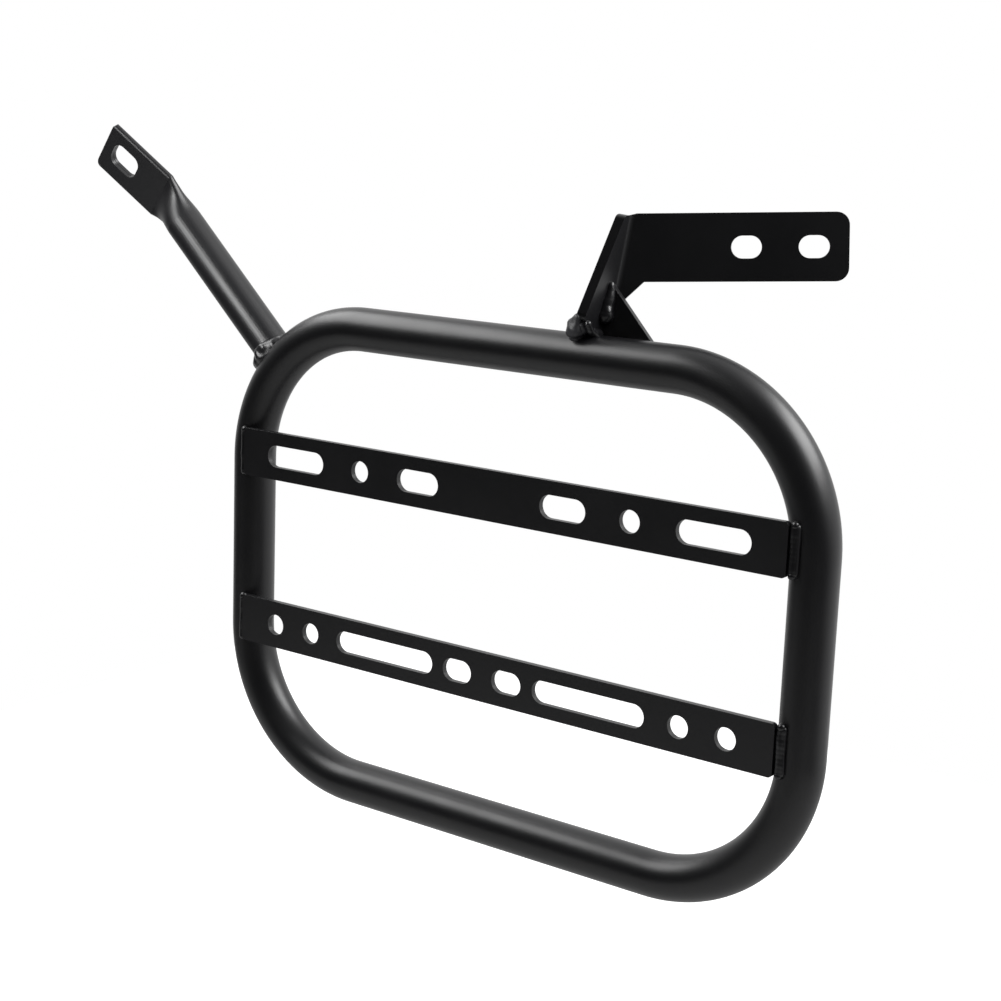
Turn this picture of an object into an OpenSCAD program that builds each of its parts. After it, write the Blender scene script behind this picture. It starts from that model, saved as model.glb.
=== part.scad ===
// Pannier frame for one side of a motorcycle: a bent tube hoop, two slotted straps across its front,
// a tube arm with a flattened and slotted end, and a folded bracket with its gusset, joined by welds.
// Origin: the middle of the upper strap's outer face, which is the datum that a bag or case sits on.
// X runs along the straps, towards the bracket. Y runs inwards, towards the motorcycle. Z is up.

/* [Hoop] */
// Width of the hoop between the centre lines of its upright tubes
hoop_width = 334; // [315:1:360]
// Height of the hoop between the centre lines of its long tubes
hoop_height = 240; // [225:1:270]
// Bend radius of the hoop's centre line
hoop_bend_r = 75; // [60:1:85]
// Outer diameter of the hoop tube
hoop_tube_d = 22.2; // [21:0.1:25.4]
// Wall of the hoop tube
hoop_wall = 2; // [1.2:0.1:3]

/* [Straps] */
// Height of a strap's bar
strap_width = 25; // [20:0.5:30]
// Thickness of a strap
strap_t = 3; // [2:0.5:5]
// Depth of a strap's back face behind the front of the tubes
strap_sink = 0.8; // [0.4:0.1:2]
// Mean gap between a strap's end and the tube, filled by weld
strap_root_gap = 1.8; // [1.6:0.1:3]
// How far the straps sit off the hoop's middle, towards the arm
strap_shift = 1.5; // [0:0.1:1.5]
// Radius of a strap's corners
strap_corner_r = 2; // [0.5:0.5:5]
// Depth of the upper strap's middle below the top tube's centre line
upper_strap_depth = 70; // [60:0.5:80]
// Height of the lower strap's middle above the bottom tube's centre line
lower_strap_height = 79.5; // [70:0.5:90]
// Width of the straps' slots
strap_slot_w = 11.5; // [8:0.5:14]
// Diameter of the straps' round holes
strap_hole_d = 11; // [8:0.5:14]

/* [Upper strap holes] */
// Distance of the short slots from the middle
upper_short_at = 43.4; // [40:0.1:46]
// Length of the short slots
upper_short_len = 26; // [20:0.5:30]
// Distance of the round holes from the middle
upper_hole_at = 80.7; // [76:0.1:86]
// Distance of the long slots from the middle
upper_long_at = 124.5; // [120:0.1:128]
// Length of the long slots
upper_long_len = 38.5; // [30:0.5:44]

/* [Lower strap holes] */
// Distance of the short slots from the middle
lower_short_at = 15; // [13:0.1:16.5]
// Length of the short slots
lower_short_len = 17.5; // [14:0.5:20]
// Distance of the long slots from the middle
lower_long_at = 62.2; // [60:0.1:64]
// Length of the long slots
lower_long_len = 63.4; // [50:0.1:66]
// Distance of the inner round holes from the middle
lower_inner_hole_at = 112; // [108:0.1:116]
// Distance of the outer round holes from the middle
lower_outer_hole_at = 136.8; // [132:0.1:142]

/* [Arm] */
// Outer diameter of the arm's tube
arm_d = 20; // [16:0.5:20.5]
// Wall of the arm's tube
arm_wall = 2; // [1.5:0.1:2.5]
// Where the arm leaves the hoop's upper corner, as an angle round the bend from the level
arm_foot_angle = 140.5; // [120:1:150]
// Distance of the arm's foot behind the hoop's centre line
arm_foot_depth = 6.6; // [0:0.1:7]
// Height above the hoop's centre line at which the arm's tube is cut off
arm_foot_trim = 4; // [2:0.5:5]
// Slope of the arm above the level
arm_elevation = 44.7; // [35:0.1:55]
// Swing of the arm outwards, about the upright
arm_swing = 3.9; // [0:0.1:10]
// Roll of the arm's flattened end about the tube
arm_roll = -14.8; // [-30:0.1:10]
// Length of round tube, from the hoop's centre line to where it starts to flatten
arm_straight = 103.5; // [70:1:130]
// Length over which the round tube is squashed flat
squash_len = 19.9; // [15:0.1:30]
// Length of the flattened end
flat_len = 41.5; // [32:0.5:55]
// Angle between the flattened end and the tube
flat_bend = 14.8; // [0:0.1:25]
// Offset of the flattened end from the tube's centre line
flat_offset = 1.9; // [0:0.1:4]
// Width that the squash adds to the flattened end, beyond the tube's own girth
flat_spread = 1.2; // [0:0.1:3]
// Hairline gap left between the two walls of the flattened end
flat_seam = 0.2; // [0.1:0.05:0.5]
// Radius of the flattened end's upper corner
flat_top_r = 1.5; // [0.5:0.5:6]
// Radius of the flattened end's lower corner
flat_low_r = 5; // [1:0.5:8]
// Length of the arm's slot
arm_slot_len = 17.4; // [14:0.2:20]
// Width of the arm's slot
arm_slot_w = 14.4; // [10:0.2:16]
// Radius of the corners of the arm's slot
arm_slot_r = 5; // [2:0.5:5]
// Distance of the arm's slot from the end of the flattened part, to its middle
arm_slot_from_end = 14.4; // [12:0.2:18]
// Distance of the arm's slot above the middle of the flattened part
arm_slot_rise = 1.2; // [-2:0.2:2]

/* [Bracket] */
// Thickness of the bracket's plate
plate_t = 5; // [3:0.5:6]
// Inside radius of the fold
fold_r = 3; // [2:0.5:5]
// Angle of the fold
fold_angle = 63.3; // [40:0.1:80]
// Tilt of the leg along the top tube, from the upright
leg_tilt = 6; // [0:0.1:12]
// Lean of the fold line inwards, from the upright
fold_lean = 6.3; // [0:0.1:15]
// Distance of the leg's inner face from the hoop's middle, along the top tube
leg_face_x = 46; // [30:0.1:58]
// Distance of the leg's rear edge behind the top tube's centre line, where the fold starts
fold_reach = 7.3; // [6:0.1:9]
// Height of the fold's top above the top tube's centre line
fold_top = 68.7; // [62:0.1:80]
// Height of the fold's lower end above the top tube's centre line
fold_low = 26.1; // [22:0.1:32]
// Overhang of the leg's lower outer corner in front of the top tube's centre line
leg_overhang = 13.1; // [11:0.1:16]
// Height of the leg's lower outer corner above the top tube's centre line
leg_foot = 18; // [16:0.1:20]
// Width of the leg's top, in front of the fold
leg_top_w = 3.1; // [2:0.1:6]
// Drop of the leg's top below the top of the wing at the fold
leg_top_drop = 1.5; // [0.5:0.1:3]
// Further drop of the leg's top towards its outer corner
leg_top_fall = 0.5; // [0.2:0.1:2]
// Radius of the leg's outer corners
leg_corner_r = 3; // [1:0.5:3.5]
// Rise of the wing's edges as they leave the fold
wing_rise = 11.3; // [0:0.1:20]
// Length of the wing along its upper edge
wing_len = 97; // [92:0.1:120]
// Width of the wing
wing_w = 31.4; // [28:0.2:36]
// Distance from the fold to where the wing's lower edge starts
wing_throat = 3.7; // [1:0.1:10]
// Radius of the wing's end corners
wing_corner_r = 6; // [2:0.5:12]
// Distance of the first slot's middle from the fold
wing_slot_at = 50.6; // [44:0.1:54]
// Spacing of the wing's two slots
wing_slot_pitch = 30.6; // [26:0.1:34]
// Length of the wing's slots
wing_slot_len = 14; // [12:0.5:20]
// Width of the wing's slots
wing_slot_w = 10.4; // [8:0.1:11.5]

/* [Gusset] */
// Thickness of the gusset
gusset_t = 3; // [2:0.5:4]
// Length of the gusset along the top tube
gusset_len = 26.5; // [20:0.1:34]
// Height of the gusset above the top tube's centre line
gusset_top = 35.4; // [30:0.1:45]
// Height of the gusset's nose above the top tube's centre line
gusset_nose = 13.8; // [13.6:0.1:18]
// Clearance between the gusset's rear face and the start of the fold
gusset_gap = 0.3; // [0:0.1:1]

/* [Welds] */
// Clearance of a coped foot from the tube that it is welded to
cope_gap = 0.1; // [0.05:0.05:0.3]
// Radius of the beads at the straps' ends
strap_bead_r = 2.6; // [2.4:0.1:3.2]
// How far a strap's bead laps past the middle of its gap
strap_bead_lap = 0.7; // [0.3:0.1:1]
// Radius of the bead round the arm's foot
collar_bead_r = 3.2; // [2.4:0.1:4]
// Radius of the bead on the outer side of the leg's foot
leg_bead_r = 5; // [3:0.1:7]
// Radius of the bead on the gusset's side of the leg's foot
toe_bead_r = 3; // [2:0.1:4]
// Radius of the bead between the leg and the gusset
gusset_bead_r = 3.4; // [2:0.1:4]
// Radius of the bead along the gusset's rear foot
rear_bead_r = 2.4; // [1.5:0.1:3]

/* [Hidden] */
$fn = 96;

LEFT = -1;
RIGHT = 1;
OUTLINE_STEPS = 8;     // pieces in the arc of an outline's rounded corner
SQUASH_POINTS = 48;    // points round a section of the squashed tube
SQUASH_RINGS = 8;      // sections along the squashed tube
SQUASH_EASE = 1.6;     // how gently the squash leaves the round tube
SEAT = 0.5;            // depth to which the squashed piece runs into its neighbours
INSET = 0.02;          // how far inside its neighbours' skin the squashed piece starts
CUT = 1;               // how far a cutter runs past what it cuts
BORE_SIDES = 32;       // sides of the bore where it narrows inside the squash
BORE_END = 2;          // length of pressed wall between the bore's end and the flattened part
BEAD_PROUD = 0.6;      // height of a strap's bead above the strap's outer face
BEAD_OVERRUN = 0.5;    // how far a bead runs past the end of its seam
FOLD_RELIEF = 0.2;     // how far the leg is cut back below the fold
COLLAR_STATIONS = 24;  // sections of the bead round the arm's foot
COLLAR_SIDES = 10;     // sides of each of those sections
COLLAR_OVERHANG = 1;   // how far behind the hoop's tube the middle of that bead may lie
SADDLE_STEP = 10;      // angle between the ripples of a bead across the top tube
OUTER_BEAD_REACH = 25; // angle that the leg's outer bead runs each way from the tube's crown
TOE_BEAD_FRONT = 4;    // angle that the leg's inner bead runs to the front of the crown
TOE_BEAD_BACK = 10;    // and to the back of it

hoop_r = hoop_tube_d / 2;
hoop_axis_y = strap_t + hoop_r - strap_sink;
corner_x = hoop_width / 2 - hoop_bend_r;
corner_z = hoop_height / 2 - hoop_bend_r;
flank = sqrt(pow(hoop_r, 2) - pow(hoop_r - strap_sink, 2));
strap_len = hoop_width - 2 * flank - 2 * strap_root_gap;
upper_strap_rise = hoop_height / 2 - upper_strap_depth;
lower_strap_z = upper_strap_depth + lower_strap_height - hoop_height;
arm_r = arm_d / 2;
flat_t = 2 * arm_wall + flat_seam;
flat_w = PI * (arm_d - arm_wall) / 2 + arm_wall + flat_spread;
gusset_rear = fold_reach - gusset_gap;
gusset_front = gusset_rear - gusset_t;
powder_black = [0.09, 0.09, 0.10];
weld_black = [0.13, 0.13, 0.14];

// Frames that the pieces are drawn in

module in_hoop() {
    translate([strap_shift, hoop_axis_y, -upper_strap_rise]) children();
}

// Z runs out along the arm from the hoop's centre line, X lies along the bend there
module in_foot() {
    foot = [-corner_x + hoop_bend_r * cos(arm_foot_angle), arm_foot_depth,
            corner_z + hoop_bend_r * sin(arm_foot_angle)];
    in_hoop() translate(foot) rotate([0, 0, arm_swing]) rotate([0, arm_elevation - 90, 0]) children();
}

// X runs across the flattened end, from its lower edge to its upper one
module in_arm() {
    in_foot() rotate([0, 0, arm_roll]) children();
}

module in_flat() {
    in_arm() translate([0, -flat_offset, arm_straight + squash_len]) rotate([flat_bend, 0, 0])
        children();
}

module in_top_tube() {
    in_hoop() translate([0, 0, hoop_height / 2]) children();
}

// X points away from the leg's inner face, Z runs up the fold line
module in_bracket() {
    in_top_tube() translate([leg_face_x, 0, 0]) rotate([0, leg_tilt, 0]) rotate([-fold_lean, 0, 0])
        children();
}

// X runs from the fold along the wing's front face, Y up the fold line, Z towards the front
module in_wing() {
    in_bracket() translate([fold_r, fold_reach, 0]) rotate([0, 0, -fold_angle])
        translate([-fold_r, 0, 0]) rotate([90, 0, 90]) children();
}

// Outlines

function unit(v) = v / norm(v);

function turn(from, to) = (to - from + 540) % 360 - 180;

function corner_arc(before, at, after, r) =
    let (u = unit(before - at), v = unit(after - at),
         half = acos(u * v) / 2,
         centre = at + unit(u + v) * r / sin(half),
         start = at + u * r / tan(half) - centre,
         end = at + v * r / tan(half) - centre,
         a0 = atan2(start[1], start[0]),
         sweep = turn(a0, atan2(end[1], end[0])))
    [for (i = [0:OUTLINE_STEPS])
        centre + r * [cos(a0 + sweep * i / OUTLINE_STEPS), sin(a0 + sweep * i / OUTLINE_STEPS)]];

// Points of a polygon whose corner i is rounded to radii[i], 0 leaving it sharp
function rounded(points, radii) =
    let (n = len(points))
    [for (i = [0:n - 1])
        for (p = radii[i] > 0
                 ? corner_arc(points[(i + n - 1) % n], points[i], points[(i + 1) % n], radii[i])
                 : [points[i]]) p];

module slot(length, width) {
    square([length - width, width], center = true);
    for (side = [LEFT, RIGHT]) translate([side * (length - width) / 2, 0]) circle(d = width);
}

module soft_slot(length, width, r) {
    square([length - 2 * r, width], center = true);
    square([length, width - 2 * r], center = true);
    for (x = [LEFT, RIGHT], y = [LEFT, RIGHT])
        translate([x * (length / 2 - r), y * (width / 2 - r)]) circle(r = r);
}

// A bead of weld from one point to another, with round ends
module bead(from, to, r) {
    run = to - from;
    translate(from) sphere(r = r);
    translate(to) sphere(r = r);
    translate(from) rotate([0, acos(run[2] / norm(run)), atan2(run[1], run[0])])
        cylinder(h = norm(run), r = r);
}

// Hoop

module hoop_core(r) {
    rotate([90, 0, 0]) {
        for (quarter = [0:3]) {
            side = quarter == 0 || quarter == 3 ? RIGHT : LEFT;
            level = quarter < 2 ? 1 : -1;
            translate([side * corner_x, level * corner_z, 0]) rotate([0, 0, 90 * quarter])
                rotate_extrude(angle = 90) translate([hoop_bend_r, 0]) circle(r = r);
        }
        for (level = [-1, 1]) translate([-corner_x, level * hoop_height / 2, 0])
            rotate([0, 90, 0]) cylinder(h = 2 * corner_x, r = r);
        for (side = [LEFT, RIGHT]) translate([side * hoop_width / 2, corner_z, 0])
            rotate([90, 0, 0]) cylinder(h = 2 * corner_z, r = r);
    }
}

module hoop_tube() {
    color(powder_black) in_hoop() difference() {
        hoop_core(hoop_r);
        hoop_core(hoop_r - hoop_wall);
    }
}

// Straps

module strap_blank() {
    corner = [strap_len, strap_width] / 2;
    rotate([90, 0, 0]) translate([0, 0, -strap_t]) linear_extrude(height = strap_t)
        polygon(rounded([-corner, [corner[0], -corner[1]], corner, [-corner[0], corner[1]]],
                        [for (i = [1:4]) strap_corner_r]));
}

module strap_cut(at) {
    for (side = [LEFT, RIGHT]) translate([side * at, strap_t + CUT, 0]) rotate([90, 0, 0])
        linear_extrude(height = strap_t + 2 * CUT) children();
}

module upper_strap() {
    color(powder_black) difference() {
        strap_blank();
        strap_cut(upper_short_at) slot(upper_short_len, strap_slot_w);
        strap_cut(upper_hole_at) circle(d = strap_hole_d);
        strap_cut(upper_long_at) slot(upper_long_len, strap_slot_w);
    }
}

module lower_strap() {
    color(powder_black) translate([0, 0, lower_strap_z]) difference() {
        strap_blank();
        strap_cut(lower_short_at) slot(lower_short_len, strap_slot_w);
        strap_cut(lower_long_at) slot(lower_long_len, strap_slot_w);
        strap_cut(lower_inner_hole_at) circle(d = strap_hole_d);
        strap_cut(lower_outer_hole_at) circle(d = strap_hole_d);
    }
}

module strap_weld(side, level) {
    gap = strap_root_gap + side * strap_shift;
    at_x = side * (strap_len / 2 + gap / 2 + strap_bead_lap);
    at_y = strap_bead_r - BEAD_PROUD;
    reach = strap_width / 2 + BEAD_OVERRUN - strap_bead_r;
    color(weld_black) difference() {
        translate([0, 0, level]) bead([at_x, at_y, -reach], [at_x, at_y, reach], strap_bead_r);
        translate([0, 0, level]) strap_blank();
        in_hoop() hoop_core(hoop_r);
    }
}

// Arm: a round tube squashed flat at its end

// Point of a stadium's outline at the share f of its length, from the middle of its right end
function stadium_point(f, width, thickness) =
    let (r = thickness / 2, straight = width - thickness, quarter = PI * r / 2,
         s = f * 2 * (straight + PI * r))
    s < quarter ? [straight / 2 + r * cos(s / r * 180 / PI), r * sin(s / r * 180 / PI)]
    : s < quarter + straight ? [straight / 2 - (s - quarter), r]
    : s < 3 * quarter + straight
        ? let (a = 90 + (s - quarter - straight) / r * 180 / PI)
          [-straight / 2 + r * cos(a), r * sin(a)]
    : s < 3 * quarter + 2 * straight ? [-straight / 2 + (s - 3 * quarter - straight), -r]
    : let (a = 270 + (s - 3 * quarter - 2 * straight) / r * 180 / PI)
      [straight / 2 + r * cos(a), r * sin(a)];

// Centre line of the squash in the plane of its bend, as [y, z]
function squash_centre(u) =
    let (start = [0, arm_straight],
         end = [-flat_offset, arm_straight + squash_len],
         pull = squash_len / 3,
         out = start + [0, pull],
         back = end - pull * [-sin(flat_bend), cos(flat_bend)])
    pow(1 - u, 3) * start + 3 * u * pow(1 - u, 2) * out + 3 * pow(u, 2) * (1 - u) * back
    + pow(u, 3) * end;

// One section of the squash, moved on along its own direction by push
function squash_ring(u, r, width, thickness, push) =
    let (flatness = pow(u, SQUASH_EASE), tilt = flat_bend * u, centre = squash_centre(u),
         y0 = centre[0] - push * sin(tilt), z0 = centre[1] + push * cos(tilt))
    [for (i = [0:SQUASH_POINTS - 1])
        let (f = i / SQUASH_POINTS,
             p = (1 - flatness) * r * [cos(360 * f), sin(360 * f)]
                 + flatness * stadium_point(f, width, thickness))
        [p[0], y0 + p[1] * cos(tilt), z0 + p[1] * sin(tilt)]];

module squash(r, width, thickness) {
    rings = concat([squash_ring(0, r - INSET, width, thickness, -SEAT)],
                   [for (k = [0:SQUASH_RINGS])
                       let (u = k / SQUASH_RINGS)
                       squash_ring(u, r - INSET, width - 2 * INSET, thickness - 2 * INSET, 0)],
                   [squash_ring(1, r, width - 2 * INSET, thickness - 2 * INSET, SEAT)]);
    n = SQUASH_POINTS;
    last = len(rings) - 1;
    walls = [for (k = [0:last - 1], i = [0:n - 1])
                let (j = (i + 1) % n)
                for (face = [[k * n + i, (k + 1) * n + i, (k + 1) * n + j],
                             [k * n + i, (k + 1) * n + j, k * n + j]]) face];
    ends = [[for (i = [0:n - 1]) i], [for (i = [n - 1:-1:0]) last * n + i]];
    polyhedron(points = [for (ring = rings) for (p = ring) p], faces = concat(walls, ends));
}

module flat_outline() {
    side = flat_w / 2;
    rotate([90, 0, 0]) linear_extrude(height = 2 * flat_t, center = true)
        polygon(rounded([[-side, 0], [side, 0], [side, flat_len], [-side, flat_len]],
                        [0, 0, flat_top_r, flat_low_r]));
}

module arm_blank() {
    in_arm() translate([0, 0, arm_foot_trim]) cylinder(h = arm_straight - arm_foot_trim, r = arm_r);
    in_arm() squash(arm_r, flat_w, flat_t);
    in_flat() intersection() {
        linear_extrude(height = flat_len) slot(flat_w, flat_t);
        flat_outline();
    }
}

// The bore narrows to a slit inside the squash
module arm_bore() {
    r = arm_r - arm_wall;
    slit = [flat_w - flat_t, flat_seam, SEAT];
    in_arm() translate([0, 0, -CUT]) cylinder(h = arm_straight + CUT, r = r);
    hull() {
        in_arm() translate([0, 0, arm_straight - SEAT])
            cylinder(h = SEAT, r = r - INSET, $fn = BORE_SIDES);
        in_flat() translate([0, 0, -BORE_END]) cube(slit, center = true);
    }
}

module arm_seam() {
    in_flat() linear_extrude(height = flat_len + CUT)
        square([flat_w - flat_t, flat_seam], center = true);
}

module arm_slot() {
    in_flat() translate([arm_slot_rise, 0, flat_len - arm_slot_from_end]) rotate([90, 90, 0])
        linear_extrude(height = 2 * flat_t, center = true)
        soft_slot(arm_slot_len, arm_slot_w, arm_slot_r);
}

module arm_tube() {
    color(powder_black) difference() {
        arm_blank();
        arm_bore();
        arm_seam();
        arm_slot();
        in_hoop() hoop_core(hoop_r + cope_gap);
    }
}

// Point of the seam round the arm's foot, at the angle a from the bend's own direction. Behind the
// hoop the seam runs below the cut end of the tube
function collar_point(a) =
    let (along = arm_r * cos(a),
         depth = min(arm_foot_depth + arm_r * sin(a), hoop_r + COLLAR_OVERHANG),
         height = sqrt(max(pow(hoop_r, 2) - pow(depth, 2), pow(arm_foot_trim, 2))))
    [along, depth - arm_foot_depth, height - pow(along, 2) / (2 * hoop_bend_r)];

// The bead is a closed ring of sections that follows the seam
module collar_ring(r) {
    n = COLLAR_SIDES;
    points = [for (i = [0:COLLAR_STATIONS - 1], k = [0:n - 1])
                 let (a = 360 * i / COLLAR_STATIONS, b = 360 * k / n)
                 collar_point(a) + r * [cos(b) * cos(a), cos(b) * sin(a), sin(b)]];
    faces = [for (i = [0:COLLAR_STATIONS - 1], k = [0:n - 1])
                let (here = i * n, next = (i + 1) % COLLAR_STATIONS * n, up = (k + 1) % n)
                for (face = [[here + k, next + up, next + k], [here + k, here + up, next + up]])
                face];
    polyhedron(points = points, faces = faces);
}

module arm_collar_weld() {
    color(weld_black) difference() {
        in_foot() collar_ring(collar_bead_r);
        in_foot() translate([0, 0, arm_foot_trim]) cylinder(h = hoop_r + arm_d, r = arm_r);
        in_hoop() hoop_core(hoop_r);
    }
}

// Bracket: a plate folded between its leg and its wing

// The leg, the fold and the wing as one bent strip of plate, drawn from above
module bent_strip() {
    wing = [sin(fold_angle), cos(fold_angle)];
    corner = tan(fold_angle / 2);
    inner = [0, fold_reach + fold_r * corner];
    outer = [-plate_t, fold_reach + (fold_r + plate_t) * corner];
    run = (wing_len + wing_w) * wing;
    front = -leg_overhang - CUT;
    linear_extrude(height = 2 * fold_top)
        polygon(rounded([[0, front], inner, inner + run, outer + run, outer, [-plate_t, front]],
                        [0, fold_r, 0, 0, fold_r + plate_t, 0]));
}

// Outline that the strip is cut to, seen square on to the wing
module wing_outline() {
    along = [cos(wing_rise), sin(wing_rise)];
    down = [sin(wing_rise), -cos(wing_rise)];
    top = [0, fold_top];
    behind = -leg_overhang - 4 * plate_t;
    leg_top = fold_top - leg_top_drop;
    linear_extrude(height = 4 * wing_w, center = true)
        polygon(rounded([top + SEAT * along, [-fold_r, leg_top], [behind, leg_top], [behind, -CUT],
                         [SEAT, -CUT], [SEAT, fold_low], top + wing_throat * along + wing_w * down,
                         top + wing_len * along + wing_w * down, top + wing_len * along],
                        [0, 0, 0, 0, 0, 0, 0, wing_corner_r, wing_corner_r]));
}

// What is cut away round the leg, seen square on to the leg
module leg_waste() {
    leg_top = fold_top - leg_top_drop;
    rotate([90, 0, 90]) linear_extrude(height = 2 * (plate_t + CUT), center = true)
        polygon(rounded([[fold_reach - SEAT, 2 * fold_top + CUT], [fold_reach - SEAT, leg_top + INSET],
                         [fold_reach - leg_top_w, leg_top - leg_top_fall], [-leg_overhang, leg_foot],
                         [0, hoop_r], [0, -CUT], [-wing_w, -CUT], [-wing_w, 2 * fold_top + CUT]],
                        [0, 0, leg_corner_r, leg_corner_r, 0, 0, 0, 0]));
}

module below_fold() {
    translate([-plate_t - CUT, fold_reach - FOLD_RELIEF, -CUT])
        cube([wing_len, wing_len, fold_low + CUT]);
}

module wing_slots() {
    in_wing() translate([0, fold_top, -plate_t - CUT]) rotate([0, 0, wing_rise])
        linear_extrude(height = plate_t + 2 * CUT)
        for (at = [wing_slot_at, wing_slot_at + wing_slot_pitch])
            translate([at, -wing_w / 2]) slot(wing_slot_len, wing_slot_w);
}

module bracket_plate() {
    color(powder_black) difference() {
        intersection() {
            in_bracket() bent_strip();
            in_wing() wing_outline();
        }
        in_bracket() leg_waste();
        in_bracket() below_fold();
        wing_slots();
        in_hoop() hoop_core(hoop_r + cope_gap);
    }
}

// Gusset

module gusset_blank() {
    in_bracket() translate([0, gusset_rear, 0]) rotate([90, 0, 0]) linear_extrude(height = gusset_t)
        polygon([[0, 0], [gusset_len, hoop_r / 2], [gusset_len, gusset_nose], [0, gusset_top]]);
}

module bracket_gusset() {
    color(powder_black) difference() {
        gusset_blank();
        in_hoop() hoop_core(hoop_r + cope_gap);
    }
}

// Welds of the bracket

module leg_body() {
    difference() {
        in_bracket() translate([-plate_t, -leg_overhang - CUT, 0])
            cube([plate_t, leg_overhang + CUT + fold_reach, fold_top]);
        in_bracket() leg_waste();
    }
}

module bracket_weld() {
    color(weld_black) difference() {
        children();
        leg_body();
        gusset_blank();
        in_hoop() hoop_core(hoop_r);
    }
}

// Ripples of a bead across the top tube, along the leg's face at the offset x, from the angle
// front to the angle back of the tube's crown
module saddle_bead(x, r, front, back) {
    for (a = [-front:SADDLE_STEP:back]) {
        height = hoop_r * cos(a);
        in_top_tube() translate([leg_face_x + x + height * tan(leg_tilt), hoop_r * sin(a), height])
            sphere(r = r);
    }
}

module bracket_outer_weld() {
    bracket_weld() intersection() {
        saddle_bead(-plate_t, leg_bead_r, OUTER_BEAD_REACH, OUTER_BEAD_REACH);
        in_bracket() translate([SEAT - plate_t - 3 * leg_bead_r, -hoop_tube_d, 0])
            cube([3 * leg_bead_r, 2 * hoop_tube_d, 3 * hoop_r]);
    }
}

module bracket_toe_weld() {
    bracket_weld() intersection() {
        saddle_bead(0, toe_bead_r, TOE_BEAD_FRONT, TOE_BEAD_BACK);
        in_bracket() translate([-SEAT, -hoop_tube_d, 0])
            cube([2 * toe_bead_r, hoop_tube_d + gusset_front + SEAT, 3 * hoop_r]);
    }
}

module gusset_leg_weld() {
    low = hoop_r + 2 * toe_bead_r + CUT;
    bracket_weld() intersection() {
        in_bracket() bead([0, gusset_front, low + gusset_bead_r],
                          [0, gusset_front, gusset_top - gusset_bead_r], gusset_bead_r);
        in_bracket() translate([-SEAT, gusset_front - 2 * gusset_bead_r, 0])
            cube([2 * gusset_bead_r, 2 * gusset_bead_r + SEAT, fold_top]);
    }
}

module gusset_rear_weld() {
    a = fold_lean + asin(gusset_rear / hoop_r);
    seam = [0, hoop_r * sin(a), hoop_r * cos(a)];
    bracket_weld() in_top_tube()
        bead(seam + [leg_face_x + 2 * rear_bead_r, 0, 0],
             seam + [leg_face_x + gusset_len - rear_bead_r, 0, 0], rear_bead_r);
}

hoop_tube();
upper_strap();
lower_strap();
arm_tube();
bracket_plate();
bracket_gusset();
arm_collar_weld();
strap_weld(LEFT, 0);  // upper_strap_left_weld
strap_weld(RIGHT, 0);  // upper_strap_right_weld
strap_weld(LEFT, lower_strap_z);  // lower_strap_left_weld
strap_weld(RIGHT, lower_strap_z);  // lower_strap_right_weld
bracket_outer_weld();
bracket_toe_weld();
gusset_leg_weld();
gusset_rear_weld();
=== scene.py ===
# %% [markdown]
# A pannier frame carries a side case on a motorcycle. It is a hoop of bent steel tube with two slotted
# straps welded across its front, a tube arm with a flattened end, and a folded plate bracket, all
# powder-coated black. The CAD solids give every size and place. This lesson gives them a finish:
# rounded edges, rippled weld beads and a powder coat, under soft studio light and from the photograph's
# own point of view.

# %% Load the fixed frame
import math

import bmesh
import bpy
from mathutils import Matrix, Vector, noise


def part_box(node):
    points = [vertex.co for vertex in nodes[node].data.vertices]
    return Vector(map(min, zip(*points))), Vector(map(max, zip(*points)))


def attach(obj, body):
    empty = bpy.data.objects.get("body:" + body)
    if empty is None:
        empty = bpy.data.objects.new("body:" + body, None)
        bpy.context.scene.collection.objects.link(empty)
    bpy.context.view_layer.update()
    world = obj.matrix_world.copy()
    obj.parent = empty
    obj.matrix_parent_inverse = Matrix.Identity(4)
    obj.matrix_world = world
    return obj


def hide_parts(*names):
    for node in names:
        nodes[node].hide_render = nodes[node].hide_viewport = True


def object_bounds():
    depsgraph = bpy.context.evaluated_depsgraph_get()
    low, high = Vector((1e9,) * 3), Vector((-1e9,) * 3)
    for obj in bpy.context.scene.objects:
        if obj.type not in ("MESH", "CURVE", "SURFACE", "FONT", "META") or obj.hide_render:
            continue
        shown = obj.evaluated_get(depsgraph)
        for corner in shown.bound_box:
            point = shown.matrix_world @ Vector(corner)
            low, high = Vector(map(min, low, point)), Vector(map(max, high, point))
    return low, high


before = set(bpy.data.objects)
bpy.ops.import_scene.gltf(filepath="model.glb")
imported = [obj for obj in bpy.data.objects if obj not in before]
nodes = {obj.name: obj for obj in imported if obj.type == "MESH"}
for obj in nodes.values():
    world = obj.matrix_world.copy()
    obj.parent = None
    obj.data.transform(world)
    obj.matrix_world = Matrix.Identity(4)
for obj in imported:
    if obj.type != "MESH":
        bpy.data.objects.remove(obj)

MM = 0.001
cad_box = [[float(v) for v in corner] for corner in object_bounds()]
print("CAD nodes:", sorted(nodes))
print("CAD box in millimetres:", [[round(v / MM, 1) for v in corner] for corner in cad_box])


# %% [markdown]
# Most steps below build a node tree, either for a material or for a shape. One small helper adds a
# node, sets its options and fills its inputs with a number or with another node's output.

# %% Helper that adds one node
def add_node(tree, kind, options=None, inputs=None):
    made = tree.nodes.new(kind)
    for key, value in (options or {}).items():
        setattr(made, key, value)
    for key, value in (inputs or {}).items():
        if isinstance(value, bpy.types.NodeSocket):
            tree.links.new(value, made.inputs[key])
        else:
            made.inputs[key].default_value = value
    return made


# %% Helper that turns a screen colour into a linear one
def linear(hex_colour):
    channels = [int(hex_colour[i:i + 2], 16) / 255 for i in (1, 3, 5)]
    curve = [c / 12.92 if c <= 0.04045 else ((c + 0.055) / 1.055) ** 2.4 for c in channels]
    return (*curve, 1.0)


print("half grey #808080 is", round(linear("#808080")[0], 3), "in linear light")


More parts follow.
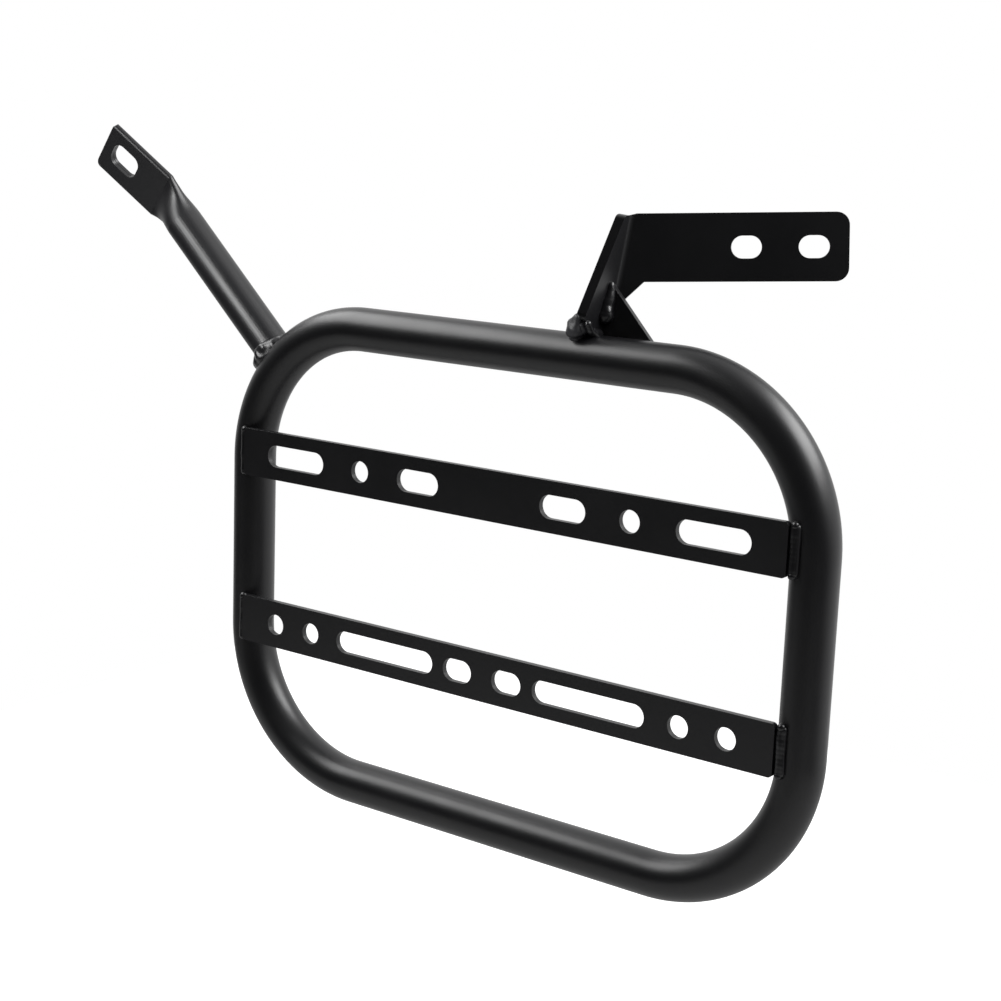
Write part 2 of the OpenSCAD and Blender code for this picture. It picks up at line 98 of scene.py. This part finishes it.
# %% [markdown]
# Powder coat is a dry polyester powder that is sprayed on and melted in an oven. It flows into a film
# about 0.1 mm thick with a faint orange-peel waviness, so a soft lamp shows as a broad band with a
# slightly uneven edge. The film is a plain dielectric: black underneath, with a satin surface that
# gives all the brightness. The waviness could be real geometry, but it is far too fine for that, so it
# is drawn as bump from noise. The noise's scale comes from its real size in millimetres.

# %% Powder-coated steel
PEEL_MM, GRAIN_MM, CLOUD_MM = 2.2, 0.5, 40
PEEL_STRENGTH, GRAIN_STRENGTH, GRAIN_SHARE = 0.5, 0.15, 0.3


def powder_coat(name, colour, roughness, spread, peel_depth_mm):
    material = bpy.data.materials.new(name)
    material.use_nodes = True
    tree = material.node_tree
    shader = tree.nodes["Principled BSDF"]
    shader.inputs["Base Color"].default_value = linear(colour)
    shader.inputs["IOR"].default_value = 1.5
    place = add_node(tree, "ShaderNodeTexCoord").outputs["Object"]
    peel = add_node(tree, "ShaderNodeTexNoise", None,
                    {"Vector": place, "Scale": 1 / (PEEL_MM * MM), "Detail": 2.0, "Roughness": 0.5})
    grain = add_node(tree, "ShaderNodeTexNoise", None,
                     {"Vector": place, "Scale": 1 / (GRAIN_MM * MM), "Detail": 1.0, "Roughness": 0.5})
    cloud = add_node(tree, "ShaderNodeTexNoise", None,
                     {"Vector": place, "Scale": 1 / (CLOUD_MM * MM), "Detail": 3.0, "Roughness": 0.6})
    rough = add_node(tree, "ShaderNodeMapRange", None,
                     {"Value": cloud.outputs["Fac"], "From Min": 0.3, "From Max": 0.7,
                      "To Min": roughness - spread, "To Max": roughness + spread})
    tree.links.new(rough.outputs["Result"], shader.inputs["Roughness"])
    fine = add_node(tree, "ShaderNodeBump", None,
                    {"Height": grain.outputs["Fac"], "Strength": GRAIN_STRENGTH,
                     "Distance": peel_depth_mm * MM * GRAIN_SHARE})
    wavy = add_node(tree, "ShaderNodeBump", None,
                    {"Height": peel.outputs["Fac"], "Strength": PEEL_STRENGTH,
                     "Distance": peel_depth_mm * MM, "Normal": fine.outputs["Normal"]})
    tree.links.new(wavy.outputs["Normal"], shader.inputs["Normal"])
    return material


# On plate and tube the film is even: broad soft bands of light with a faint waviness.
coat = powder_coat("satin black powder coat on steel", "#0F0F11", 0.37, 0.03, 0.04)
# On a bead the film runs thin over the crests and shines more: small sharp glints.
coat_on_weld = powder_coat("powder coat over weld beads", "#101012", 0.30, 0.05, 0.04)
# On the heaviest bead it is caked and lumpy: dull and mottled, with no clear glint.
thick_coat = powder_coat("powder coat caked over a heavy weld", "#17171A", 0.48, 0.06, 0.5)
print("materials:", [m.name for m in (coat, coat_on_weld, thick_coat)])


# %% [markdown]
# The hoop is one tube on a path that follows a rule: a rectangle with round corners. A curve object
# with a round bevel could make it, but Geometry Nodes state the rule directly, with its sizes as named
# inputs. A rectangle is drawn, its corners are filleted, and a circle is swept along it. The sizes are
# read from the CAD hoop's own box, so the tube lies exactly on the solid.

# %% Hoop sizes, from the CAD box
HOOP_BEND = 75 * MM
low, high = (Vector(c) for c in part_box("hoop_tube"))
tube_r = (high.y - low.y) / 2
hoop_middle = (low + high) / 2
hoop_w = high.x - low.x - 2 * tube_r
hoop_h = high.z - low.z - 2 * tube_r
print("hoop's centre line in mm:", round(hoop_w / MM, 1), "by", round(hoop_h / MM, 1))


# %% Helpers that build and run a tree of Geometry Nodes
def new_tree(name, inputs):
    tree = bpy.data.node_groups.new(name, "GeometryNodeTree")
    tree.interface.new_socket("Geometry", in_out="INPUT", socket_type="NodeSocketGeometry")
    for label, kind in inputs.items():
        tree.interface.new_socket(label, in_out="INPUT", socket_type=kind)
    tree.interface.new_socket("Geometry", in_out="OUTPUT", socket_type="NodeSocketGeometry")
    return tree


def run_tree(name, tree, values):
    host = bpy.data.objects.new(name, bpy.data.meshes.new(name))
    bpy.context.scene.collection.objects.link(host)
    modifier = host.modifiers.new("shape", "NODES")
    modifier.node_group = tree
    sockets = {s.name: s.identifier for s in tree.interface.items_tree if s.in_out == "INPUT"}
    for label, value in values.items():
        modifier[sockets[label]] = value
    depsgraph = bpy.context.evaluated_depsgraph_get()
    result = bpy.data.meshes.new_from_object(host.evaluated_get(depsgraph))
    host.modifiers.clear()
    host.data = result
    result.name = name
    return host


# %% The hoop's tree
FLOAT, INT, PAINT = "NodeSocketFloat", "NodeSocketInt", "NodeSocketMaterial"
BEND_STEPS = 48
hoop_tree = new_tree("swept hoop", {"Width": FLOAT, "Height": FLOAT, "Bend": FLOAT, "Radius": FLOAT,
                                    "Sides": INT, "Paint": PAINT})
given = add_node(hoop_tree, "NodeGroupInput").outputs
outline = add_node(hoop_tree, "GeometryNodeCurvePrimitiveQuadrilateral", {"mode": "RECTANGLE"},
                   {"Width": given["Width"], "Height": given["Height"]})
filleted = add_node(hoop_tree, "GeometryNodeFilletCurve", {"mode": "POLY"},
                    {"Curve": outline.outputs["Curve"], "Count": BEND_STEPS, "Radius": given["Bend"]})
upright = add_node(hoop_tree, "GeometryNodeTransform", None,
                   {"Geometry": filleted.outputs["Curve"], "Rotation": (math.pi / 2, 0, 0)})
circle = add_node(hoop_tree, "GeometryNodeCurvePrimitiveCircle", None,
                  {"Resolution": given["Sides"], "Radius": given["Radius"]})
swept = add_node(hoop_tree, "GeometryNodeCurveToMesh", None,
                 {"Curve": upright.outputs["Geometry"], "Profile Curve": circle.outputs["Curve"]})
smooth = add_node(hoop_tree, "GeometryNodeSetShadeSmooth", None, {"Geometry": swept.outputs["Mesh"]})
real = add_node(hoop_tree, "GeometryNodeRealizeInstances", None, {"Geometry": smooth.outputs["Geometry"]})
painted = add_node(hoop_tree, "GeometryNodeSetMaterial", None,
                   {"Geometry": real.outputs["Geometry"], "Material": given["Paint"]})
add_node(hoop_tree, "NodeGroupOutput", None, {"Geometry": painted.outputs["Geometry"]})
print("hoop tree:", len(hoop_tree.nodes), "nodes")


# %% Hoop tube, swept along its path
TUBE_SIDES = 64
hoop = run_tree("hoop_swept_tube", hoop_tree, {"Width": hoop_w, "Height": hoop_h, "Bend": HOOP_BEND,
                                               "Radius": tube_r, "Sides": TUBE_SIDES, "Paint": coat})


def turn_outwards(mesh):
    shape = bmesh.new()
    shape.from_mesh(mesh)
    bmesh.ops.remove_doubles(shape, verts=shape.verts, dist=1e-7)
    bmesh.ops.recalc_face_normals(shape, faces=shape.faces)
    shape.to_mesh(mesh)
    shape.free()


hoop.data.transform(Matrix.Translation(hoop_middle))
turn_outwards(hoop.data)
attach(hoop, "root")
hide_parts("hoop_tube")
print("hoop:", len(hoop.data.polygons), "faces, tube radius", round(tube_r / MM, 2), "mm")


# %% [markdown]
# The straps, the bracket and the gusset are cut from bar and plate. Their cut edges are broken before
# coating, and the film draws back from an edge and thickens beside it, so each edge catches the light
# as a thin line. They could be modelled afresh, but the CAD solids already have every hole in its place
# and lack only those edges. So a copy of each is merged into a closed mesh and its edges get a small
# rounded bevel. The normals are then weighted by area, which keeps the flat faces flat. The arm's edges
# are already round in the solid, so it gets no bevel and only its creases are marked sharp.

# %% Plates and the arm, with broken edges
BEVEL_SEGMENTS = 3
EDGE_ANGLE, COPLANAR_ANGLE = math.radians(32), math.radians(0.1)


def finished_copy(node, radius_mm):
    name = node + "_finished"
    mesh = nodes[node].data.copy()
    mesh.name = name
    shape = bmesh.new()
    shape.from_mesh(mesh)
    bmesh.ops.remove_doubles(shape, verts=shape.verts, dist=1e-6)
    bmesh.ops.dissolve_limit(shape, angle_limit=COPLANAR_ANGLE, verts=shape.verts, edges=shape.edges)
    for face in shape.faces:
        face.smooth = True
    shape.to_mesh(mesh)
    shape.free()
    piece = bpy.data.objects.new(name, mesh)
    bpy.context.scene.collection.objects.link(piece)
    mesh.materials.clear()
    mesh.materials.append(coat)
    if radius_mm:
        bevel = piece.modifiers.new("broken edges", "BEVEL")
        bevel.width = radius_mm * MM
        bevel.segments = BEVEL_SEGMENTS
        bevel.limit_method = "ANGLE"
        bevel.angle_limit = EDGE_ANGLE
    else:
        mesh.set_sharp_from_angle(angle=EDGE_ANGLE)
    flat = piece.modifiers.new("flat faces stay flat", "WEIGHTED_NORMAL")
    flat.weight = 100
    flat.keep_sharp = not radius_mm
    depsgraph = bpy.context.evaluated_depsgraph_get()
    result = bpy.data.meshes.new_from_object(piece.evaluated_get(depsgraph))
    piece.modifiers.clear()
    piece.data = result
    result.name = name
    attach(piece, "root")
    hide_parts(node)
    return piece


# %% A finished copy of each
PLATES = {"upper_strap": 0.35, "lower_strap": 0.35, "bracket_plate": 0.5, "bracket_gusset": 0.35,
          "arm_tube": 0}
for node, radius_mm in PLATES.items():
    made = finished_copy(node, radius_mm)
    print(made.name, len(made.data.polygons), "faces")


# %% [markdown]
# A weld bead is laid as a row of overlapping molten pools, and each pool freezes with a curved rim.
# Bump alone would leave its outline smooth, so a bead is real geometry here, swept along its seam with
# a radius that rises and falls once for each pool. The rims bow forwards in the middle of the bead, its
# ends are round, and slow noise makes the pools unequal.

# %% Points spaced evenly along a seam
BEAD_STEP = 0.3 * MM


def resample(path, closed):
    corners = [Vector(p) for p in path] + ([Vector(path[0])] if closed else [])
    lengths = [(b - a).length for a, b in zip(corners, corners[1:])]
    count = max(8, round(sum(lengths) / BEAD_STEP))
    points, leg, gone = [], 0, 0.0
    for i in range(count if closed else count + 1):
        at = sum(lengths) * i / count
        while leg < len(lengths) - 1 and at > gone + lengths[leg]:
            gone += lengths[leg]
            leg += 1
        points.append(corners[leg].lerp(corners[leg + 1], (at - gone) / lengths[leg]))
    return points, sum(lengths) / count


# %% One bead, swept along its seam
BEAD_SIDES = 28
RIM_BOW, LUMP_SIZE = 1.1 * MM, 5.0 * MM
MEAN_CREST, TIP_OPENING = 0.7, 0.02


def sweep_bead(shape, path, radii, outward, pitch, rim, lumps, closed, seed):
    points, step = resample([Vector(p) for p in path], closed)
    last = len(points) - 1
    rings = []
    for i, point in enumerate(points):
        before = points[i - 1] if closed or i else points[0]
        after = points[(i + 1) % len(points)] if closed or i < last else points[last]
        along = (after - before).normalized()
        out = outward(point) if callable(outward) else Vector(outward)
        out = (out - along * out.dot(along)).normalized()
        across = along.cross(out)
        radius = radii[0] + (radii[1] - radii[0]) * i / last
        to_end = 1.0 if closed else min(1.0, (min(i, last - i) * step + TIP_OPENING * radius) / radius)
        taper = math.sqrt(1 - (1 - to_end) ** 2)
        ring = []
        for k in range(BEAD_SIDES):
            turn = 2 * math.pi * k / BEAD_SIDES
            ray = out * math.cos(turn) + across * math.sin(turn)
            pool = (i * step - RIM_BOW * math.cos(turn)) / pitch
            crest = math.sqrt(abs(math.sin(math.pi * pool)))
            lump = noise.noise((point + ray * radius) / LUMP_SIZE + Vector((seed, 0, 0)))
            reach = radius * taper * (1 + rim * (crest - MEAN_CREST) + lumps * lump)
            ring.append(shape.verts.new(point + ray * reach))
        rings.append(ring)
    pairs = list(zip(rings, rings[1:])) + ([(rings[-1], rings[0])] if closed else [])
    for one, two in pairs:
        for k in range(BEAD_SIDES):
            n = (k + 1) % BEAD_SIDES
            shape.faces.new((one[k], one[n], two[n], two[k]))
    if not closed:
        shape.faces.new(rings[0])
        shape.faces.new(rings[-1])


# %% The beads of one CAD weld, as one piece
LIGHT_PITCH, HEAVY_PITCH = 2.2 * MM, 3.4 * MM


def weld_bead(node, runs, outward, pitch=LIGHT_PITCH, rim=0.05, lumps=0.12, closed=False, seed=0,
              paint=coat_on_weld):
    shape = bmesh.new()
    for n, (path, radii) in enumerate(runs):
        sweep_bead(shape, path, radii, outward, pitch, rim, lumps, closed, seed + 7 * n)
    for face in shape.faces:
        face.smooth = True
    bmesh.ops.recalc_face_normals(shape, faces=shape.faces)
    mesh = bpy.data.meshes.new(node + "_bead")
    shape.to_mesh(mesh)
    shape.free()
    mesh.materials.append(paint)
    piece = bpy.data.objects.new(node + "_bead", mesh)
    bpy.context.scene.collection.objects.link(piece)
    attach(piece, "root")
    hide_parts(node)
    print(piece.name, len(mesh.polygons), "faces")
    return piece


# %% [markdown]
# Each end of a strap is joined to the tube by one upright bead, laid flush in the groove between the
# two. It swells where it was started and stopped, and those two blobs catch the light. One sweep has
# one thickness, so a short bead is laid over each end of the long one.

# %% Beads at the straps' ends
STRAP_BEAD_R, STRAP_BEAD_SUNK, STRAP_BEAD_SHORT = 2.7 * MM, 0.7 * MM, 0.4 * MM
BLOB_R, BLOB_HALF, BLOB_FORWARD, BLOB_FROM_END = 2.0 * MM, 2.0 * MM, 0.9 * MM, 1.9 * MM
for seed, node in enumerate(("upper_strap_left_weld", "upper_strap_right_weld",
                             "lower_strap_left_weld", "lower_strap_right_weld")):
    low, high = (Vector(c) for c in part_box(node))
    side = -1 if "left" in node else 1
    x = (low.x + high.x) / 2
    y = low.y + STRAP_BEAD_R + STRAP_BEAD_SUNK
    front = y - BLOB_FORWARD
    runs = [([(x, y, low.z + STRAP_BEAD_SHORT), (x, y, high.z - STRAP_BEAD_SHORT)],
             (STRAP_BEAD_R, STRAP_BEAD_R))]
    for z in (low.z + BLOB_FROM_END, high.z - BLOB_FROM_END):
        runs.append(([(x, front, z - BLOB_HALF), (x, front, z + BLOB_HALF)], (BLOB_R, BLOB_R)))
    weld_bead(node, runs, (side * 0.2, -1, 0), rim=0.02, lumps=0.1, seed=3 + seed)


# %% [markdown]
# The arm's round foot is coped to the hoop's bend, and its bead runs right round that saddle-shaped
# seam. A plain ring would stand off the bend in places, so the seam is worked out point by point from
# the two tubes' sizes.

# %% Bead round the arm's foot
ARM_R, FOOT_DEPTH, FOOT_TRIM = 10 * MM, 6.6 * MM, 4 * MM
COLLAR_BEAD_R, COLLAR_LIFT, COLLAR_INSET = 4.9 * MM, 0.9 * MM, -1.0 * MM
COLLAR_POINTS, COLLAR_LEAN, SEAM_OVERRUN = 72, 0.6, 1 * MM
FOOT_ANGLE, ARM_SLOPE, ARM_SWING = math.radians(140.5), math.radians(44.7), math.radians(3.9)
corner = Vector((-(hoop_w / 2 - HOOP_BEND), 0, hoop_h / 2 - HOOP_BEND))
foot = hoop_middle + corner + Vector((HOOP_BEND * math.cos(FOOT_ANGLE), FOOT_DEPTH,
                                      HOOP_BEND * math.sin(FOOT_ANGLE)))
arm_place = (Matrix.Translation(foot) @ Matrix.Rotation(ARM_SWING, 4, "Z")
             @ Matrix.Rotation(ARM_SLOPE - math.pi / 2, 4, "Y"))


def seam_point(turn, lift, spread):
    along = (ARM_R + spread) * math.cos(turn)
    depth = min(FOOT_DEPTH + (ARM_R + spread) * math.sin(turn), tube_r + SEAM_OVERRUN)
    height = math.sqrt(max(tube_r ** 2 - depth ** 2, FOOT_TRIM ** 2))
    return arm_place @ Vector((along, depth - FOOT_DEPTH, height - along ** 2 / (2 * HOOP_BEND) + lift))


collar = [seam_point(2 * math.pi * i / COLLAR_POINTS, COLLAR_LIFT, COLLAR_INSET)
          for i in range(COLLAR_POINTS)]
arm_axis = (arm_place @ Vector((0, 0, 1, 0))).to_3d()


def away_from_arm(point):
    from_axis = point - foot
    return (from_axis - arm_axis * from_axis.dot(arm_axis)).normalized() + arm_axis * COLLAR_LEAN


weld_bead("arm_collar_weld", [(collar, (COLLAR_BEAD_R, COLLAR_BEAD_R))], away_from_arm,
          pitch=HEAVY_PITCH, rim=0.05, lumps=0.3, closed=True, seed=11)


# %% [markdown]
# The bracket's leg stands on the top tube. A heavy bead crosses the tube outside the leg and fills the
# wedge under its overhanging corner, a short one lies inside the leg, and two more join the gusset.
# They follow no rule, so each has a few points of its own. Those are in millimetres in the leg's own
# frame: out from its inner face, back from the tube's middle and up the leg.

# %% The bracket's frame
LEG_X, LEG_TILT, FOLD_LEAN, PLATE = 46 * MM, math.radians(6), math.radians(6.3), 5 * MM
top_tube = Matrix.Translation(hoop_middle + Vector((0, 0, hoop_h / 2)))
bracket_place = (top_tube @ Matrix.Translation((LEG_X, 0, 0)) @ Matrix.Rotation(LEG_TILT, 4, "Y")
                 @ Matrix.Rotation(-FOLD_LEAN, 4, "X"))


def saddle(x, lift, front, back, step=4):
    points = []
    for degrees in range(-front, back + 1, step):
        turn = math.radians(degrees)
        height = (tube_r + lift) * math.cos(turn)
        points.append(top_tube @ Vector((LEG_X + x + height * math.tan(LEG_TILT),
                                         (tube_r + lift) * math.sin(turn), height)))
    return points


def on_bracket(x, y, z):
    return bracket_place @ (Vector((x, y, z)) * MM)


# %% Lay the bracket's four beads
weld_bead("bracket_outer_weld",
          [(saddle(-PLATE - 2.2 * MM, -0.8 * MM, 44, 40), (4.8 * MM, 4.0 * MM)),
           ([on_bracket(-4.6, -12.2, 19.5), on_bracket(-6.4, -9.6, 13.5), on_bracket(-7.4, -6.5, 9.5)],
            (1.5 * MM, 6.2 * MM)),
           ([on_bracket(-3, -11, 15.5), on_bracket(-3, -5, 11.5)], (2.0 * MM, 3.4 * MM))],
          (-0.6, -0.2, 0.8), pitch=HEAVY_PITCH, rim=0.0, lumps=0.3, seed=21, paint=thick_coat)
weld_bead("bracket_toe_weld",
          [([on_bracket(0.4, -11.2, 17), on_bracket(0.8, -7, 13), on_bracket(1, -2, 11.4),
             on_bracket(1, 2, 11.2)], (1.4 * MM, 2.8 * MM))],
          (0.6, -0.4, 0.8), lumps=0.3, seed=22)
weld_bead("gusset_leg_weld",
          [([on_bracket(0.2, 3.6, 36.5), on_bracket(0.8, 2.6, 16.5)], (1.8 * MM, 4.8 * MM))],
          (0.7, -0.7, 0.1), pitch=HEAVY_PITCH, rim=0.03, lumps=0.2, seed=23)
low, high = (Vector(c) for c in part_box("gusset_rear_weld"))
rear_y, rear_z = (low.y + high.y) / 2, (low.z + high.z) / 2
REAR_BEAD_R = 2.4 * MM
weld_bead("gusset_rear_weld",
          [([(low.x, rear_y, rear_z), (high.x, rear_y, rear_z)], (REAR_BEAD_R, REAR_BEAD_R))],
          (0, 0.7, 0.7), seed=24)


# %% [markdown]
# The part stands over a sheet of white studio paper. Matt paper gives no reflection of its own, only an
# even pale light from below. The photograph's background is pure white, so the paper also glows, but
# for the camera's own rays alone, which adds no light to the part.

# %% Floor
PAPER_COLOUR, PAPER_GLOW = "#A6A6A6", 0.88
white = bpy.data.materials.new("white studio paper")
white.use_nodes = True
paper = white.node_tree.nodes["Principled BSDF"]
paper.inputs["Base Color"].default_value = linear(PAPER_COLOUR)
paper.inputs["Roughness"].default_value = 0.9
paper.inputs["Emission Color"].default_value = (1, 1, 1, 1)
seen = add_node(white.node_tree, "ShaderNodeLightPath").outputs["Is Camera Ray"]
lift = add_node(white.node_tree, "ShaderNodeMath", {"operation": "MULTIPLY"}, {0: seen, 1: PAPER_GLOW})
white.node_tree.links.new(lift.outputs[0], paper.inputs["Emission Strength"])

FLOOR_DROP = 0.25
FLOOR_REACH = 0.95
floor_z = cad_box[0][2] - FLOOR_DROP
floor_corners = [(x * FLOOR_REACH, y * FLOOR_REACH, floor_z)
                 for x, y in ((-1, -1), (1, -1), (1, 1), (-1, 1))]
floor_mesh = bpy.data.meshes.new("studio_floor")
floor_mesh.from_pydata(floor_corners, [], [(0, 1, 2, 3)])
floor = bpy.data.objects.new("studio_floor", floor_mesh)
floor_mesh.materials.append(white)
bpy.context.scene.collection.objects.link(floor)
print("floor", round(FLOOR_DROP / MM), "mm under the part and", round(2 * FLOOR_REACH / MM), "mm wide")


# %% [markdown]
# The coat mirrors what stood round the part: a white backdrop behind it and a dark room in front. One
# plain grey world would light all sides alike, so the world's strength depends on what kind of ray
# asks. It is white for the camera. For reflections it runs from white behind the part to nearly black
# in front, and for diffuse light it is an even grey.

# %% World
DIFFUSE_LEVEL = 0.3
TOWARDS_BACKDROP = (0.0, 1.0, 0.25)
FADE_FROM, FADE_TO = -0.45, 0.75
DARK_ROOM, WHITE_BACKDROP = 0.015, 1.0
world = bpy.data.worlds.new("white studio")
bpy.context.scene.world = world
world.use_nodes = True
sky = world.node_tree
path = add_node(sky, "ShaderNodeLightPath").outputs
direction = add_node(sky, "ShaderNodeTexCoord").outputs["Generated"]
behind = add_node(sky, "ShaderNodeVectorMath", {"operation": "DOT_PRODUCT"},
                  {0: direction, 1: TOWARDS_BACKDROP})
backdrop = add_node(sky, "ShaderNodeMapRange", {"interpolation_type": "SMOOTHSTEP"},
                    {"Value": behind.outputs["Value"], "From Min": FADE_FROM, "From Max": FADE_TO,
                     "To Min": DARK_ROOM, "To Max": WHITE_BACKDROP})
mirrored = add_node(sky, "ShaderNodeMath", {"operation": "MAXIMUM"},
                    {0: path["Is Glossy Ray"], 1: path["Is Transmission Ray"]})
level = add_node(sky, "ShaderNodeMix", {"data_type": "FLOAT"},
                 {"Factor": mirrored.outputs[0], "A": DIFFUSE_LEVEL, "B": backdrop.outputs["Result"]})
level = add_node(sky, "ShaderNodeMix", {"data_type": "FLOAT"},
                 {"Factor": path["Is Camera Ray"], "A": level.outputs["Result"], "B": 1.0})
sky.links.new(level.outputs["Result"], sky.nodes["Background"].inputs["Strength"])
sky.nodes["Background"].inputs["Color"].default_value = (1, 1, 1, 1)
print("world: reflections run from", DARK_ROOM, "in front to", WHITE_BACKDROP, "behind")


# %% [markdown]
# Two soft boxes light the part. Mirroring the photograph's highlights about the tube's own surface
# gives their directions: a large one to the right and a little behind, 45 degrees up, and a dimmer one
# to the left and a little in front, as high. A flag keeps the left box off the bracket, whose faces and
# front edge are nearly black in the photograph. Here light linking does the flag's work.

# %% Lamps
AIM = Vector((0.0, 0.0, -0.02))


def softbox(name, azimuth, height, distance, wide, high, radiance, aim=AIM):
    # Azimuth 0 is the part's right and 90 its back. A radiance of 1 is as bright as the white backdrop.
    data = bpy.data.lights.new(name, "AREA")
    data.shape = "RECTANGLE"
    data.size, data.size_y = wide, high
    data.energy = radiance * math.pi * wide * high
    lamp = bpy.data.objects.new(name, data)
    a, e = math.radians(azimuth), math.radians(height)
    lamp.location = aim + distance * Vector((math.cos(a) * math.cos(e), math.sin(a) * math.cos(e),
                                             math.sin(e)))
    lamp.rotation_euler = (aim - lamp.location).to_track_quat("-Z", "Y").to_euler()
    bpy.context.scene.collection.objects.link(lamp)
    print(name, "at", [round(v, 2) for v in lamp.location], "m,", round(data.energy, 1), "W")
    return lamp


softbox("right softbox", 20, 44, 1.5, 1.35, 0.8, 11)
left_box = softbox("left softbox", -160, 43, 1.5, 1.45, 0.75, 6.5)

shaded = bpy.data.collections.new("shaded from the left softbox")
for name in ("bracket_plate_finished", "bracket_gusset_finished"):
    shaded.objects.link(bpy.data.objects[name])
for entry in shaded.collection_objects:
    entry.light_linking.link_state = "EXCLUDE"
left_box.light_linking.receiver_collection = shaded


# %% [markdown]
# The arm carries a clear band down its front, and the heavy beads have glints, but the hoop and the
# plates show neither. Both come from a small lamp near the camera that is flagged off from the rest.
# Light linking lets it reach only the arm, the bead at its foot and three beads of the bracket.

# %% Lamp for the arm and the welds
ARM_MIDDLE = Vector((-0.2, 0.01, 0.09))
front_lamp = softbox("front lamp", -99, 23, 0.9, 0.4, 0.42, 14, aim=ARM_MIDDLE)
lit = bpy.data.collections.new("lit by the front lamp")
for name in ("arm_tube_finished", "arm_collar_weld_bead", "bracket_outer_weld_bead",
             "bracket_toe_weld_bead", "gusset_leg_weld_bead"):
    lit.objects.link(bpy.data.objects[name])
front_lamp.light_linking.receiver_collection = lit


# %% [markdown]
# The camera stands where the photograph's did. It could be set by eye, but solving the view on the
# hoop's outline and the straps' holes gives its place, direction and focal length closely enough to
# compare each edge.

# %% Camera
PHOTO_SIDE = 1001
FOCAL_PX = 1887.63
RIGHT = Vector((0.802272, 0.595800, 0.037192))
DOWN = Vector((0.148652, -0.139051, -0.979064))
VIEW = Vector((-0.578155, 0.791004, -0.200124))
EYE = Vector((527.761, -711.359, 178.793)) * MM
camera_data = bpy.data.cameras.new("photograph view")
camera_data.sensor_width = 36
camera_data.lens = FOCAL_PX * camera_data.sensor_width / PHOTO_SIDE
camera = bpy.data.objects.new("photograph view", camera_data)
pose = Matrix.Identity(4)
for i in range(3):
    pose[i][0], pose[i][1], pose[i][2], pose[i][3] = RIGHT[i], -DOWN[i], -VIEW[i], EYE[i]
camera.matrix_world = pose
bpy.context.scene.collection.objects.link(camera)
bpy.context.scene.camera = camera
print("lens", round(camera_data.lens, 2), "mm")

# %% Picture settings
bpy.context.scene.view_settings.view_transform = "Standard"
print("view transform:", bpy.context.scene.view_settings.view_transform)
